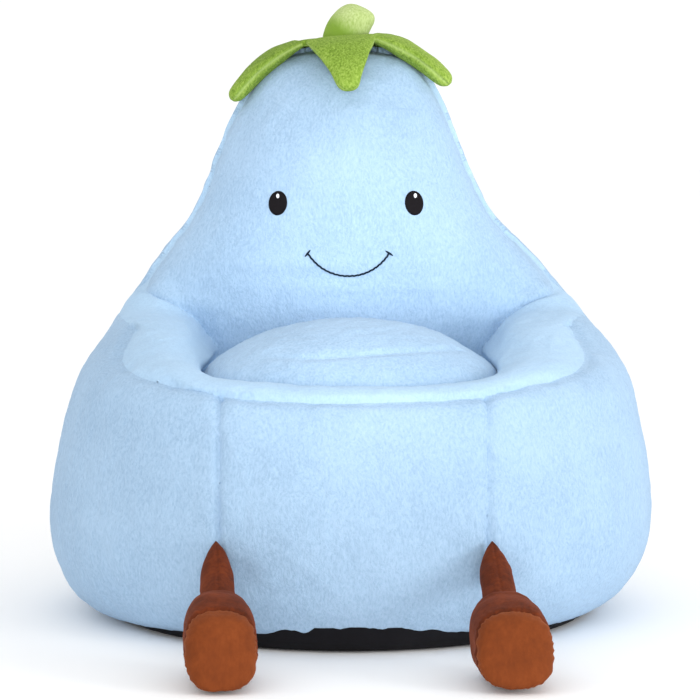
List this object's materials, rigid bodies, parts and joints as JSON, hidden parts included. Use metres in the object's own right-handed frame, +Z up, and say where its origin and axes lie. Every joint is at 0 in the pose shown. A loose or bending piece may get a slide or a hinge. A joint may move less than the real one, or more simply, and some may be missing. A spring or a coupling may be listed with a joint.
{
  "type": "bean bag chair",
  "caption": "Pear-shaped plush bean bag chair for a toddler with a domed seat pad, padded arms and rim, an embroidered smile, a leafy top with a stem, and stuffed legs.",
  "frame": {"origin": "centre of the flat face of the base, on the floor", "axes": "+Z up; the sitter faces -Y; left and right are as seen from in front, so left is -X"},
  "size_m": [0.6, 0.7078, 0.6109],
  "materials": {
    "plush_blue": "short plush pile, matt with a soft sheen",
    "base_black": "matt black non-woven cloth",
    "liner_white": "plain white woven lining",
    "beads": "expanded polystyrene beads",
    "foam": "open-cell polyurethane foam",
    "stuffing": "loose polyester fibre",
    "leaf_green": "short plush pile, matt",
    "stem_green": "short plush pile, matt",
    "leg_brown": "short velvet, brushed",
    "foot_brown": "short velvet, brushed",
    "eye_thread": "satin-stitch embroidery",
    "glint_thread": "satin-stitch embroidery",
    "smile_thread": "stem-stitch embroidery",
    "zip_tape": "woven zip tape",
    "zip_coil": "moulded nylon coil",
    "zip_metal": "painted zinc"
  },
  "bodies": {
    "chair": {"back_stuffing": "stuffing", "base_panel": "base_black", "bead_fill": "beads", "bead_liner": "liner_white", "calyx_patch": "leaf_green", "face_panel": "plush_blue", "front_wall_panel": "plush_blue", "left_arm_stuffing": "stuffing", "left_eye": "eye_thread", "left_eye_glint": "glint_thread", "left_side_panel": "plush_blue", "rear_panel": "plush_blue", "right_arm_stuffing": "stuffing", "right_eye": "eye_thread", "right_eye_glint": "glint_thread", "right_side_panel": "plush_blue", "seat_pad_cover": "plush_blue", "seat_pad_foam": "foam", "seat_surround": "plush_blue", "smile_stitching": "smile_thread", "stem_cover": "stem_green", "stem_stuffing": "stuffing", "zip_coil": "zip_coil", "zip_lower_tape": "zip_tape", "zip_stops": "zip_metal", "zip_upper_tape": "zip_tape"},
    "left_hip": {"left_leg_root": "leg_brown"},
    "left_leg": {"left_leg_tube": "leg_brown", "left_leg_stuffing": "stuffing", "left_foot_upper": "foot_brown", "left_foot_sole": "foot_brown", "left_foot_stuffing": "stuffing"},
    "right_hip": {"right_leg_root": "leg_brown"},
    "right_leg": {"right_leg_tube": "leg_brown", "right_leg_stuffing": "stuffing", "right_foot_upper": "foot_brown", "right_foot_sole": "foot_brown", "right_foot_stuffing": "stuffing"},
    "front_leaf_body": {"front_leaf": "leaf_green"},
    "left_leaf_body": {"left_leaf": "leaf_green"},
    "rear_left_leaf_body": {"rear_left_leaf": "leaf_green"},
    "rear_right_leaf_body": {"rear_right_leaf": "leaf_green"},
    "right_leaf_body": {"right_leaf": "leaf_green"},
    "zip_pull": {"zip_slider": "zip_metal"}
  },
  "joints": [
    {"name": "left_leg_swing", "type": "hinge", "parent": "chair", "child": "left_hip", "pos_m": [-0.1225, -0.256, 0.085], "axis": [0, 0, 1], "range_deg": [-25, 25]},
    {"name": "left_leg_lift", "type": "hinge", "parent": "left_hip", "child": "left_leg", "pos_m": [-0.12025, -0.28592, 0.076], "axis": [-0.9972, -0.075, 0], "range_deg": [0, 60]},
    {"name": "right_leg_swing", "type": "hinge", "parent": "chair", "child": "right_hip", "pos_m": [0.1295, -0.256, 0.085], "axis": [0, 0, 1], "range_deg": [-25, 25]},
    {"name": "right_leg_lift", "type": "hinge", "parent": "right_hip", "child": "right_leg", "pos_m": [0.13175, -0.28592, 0.076], "axis": [-0.9972, -0.075, 0], "range_deg": [0, 60]},
    {"name": "front_leaf_lift", "type": "hinge", "parent": "chair", "child": "front_leaf_body", "pos_m": [-0.009, 0.09373, 0.575], "axis": [-0.9962, 0, -0.0872], "range_deg": [0, 45]},
    {"name": "left_leaf_lift", "type": "hinge", "parent": "chair", "child": "left_leaf_body", "pos_m": [-0.05094, 0.12432, 0.57133], "axis": [-0.3078, 0.9511, -0.0269], "range_deg": [0, 45]},
    {"name": "rear_left_leaf_lift", "type": "hinge", "parent": "chair", "child": "rear_left_leaf_body", "pos_m": [-0.03492, 0.17381, 0.57273], "axis": [0.8059, 0.5878, 0.0705], "range_deg": [0, 45]},
    {"name": "rear_right_leaf_lift", "type": "hinge", "parent": "chair", "child": "rear_right_leaf_body", "pos_m": [0.01692, 0.17381, 0.57727], "axis": [0.8059, -0.5878, 0.0705], "range_deg": [0, 45]},
    {"name": "right_leaf_lift", "type": "hinge", "parent": "chair", "child": "right_leaf_body", "pos_m": [0.03294, 0.12432, 0.57867], "axis": [-0.3078, -0.9511, -0.0269], "range_deg": [0, 45]},
    {"name": "zip_slide", "type": "hinge", "parent": "chair", "child": "zip_pull", "pos_m": [0, -0.095, 0.092], "axis": [0, 0, 1], "range_deg": [0, 32.9]}
  ]
}
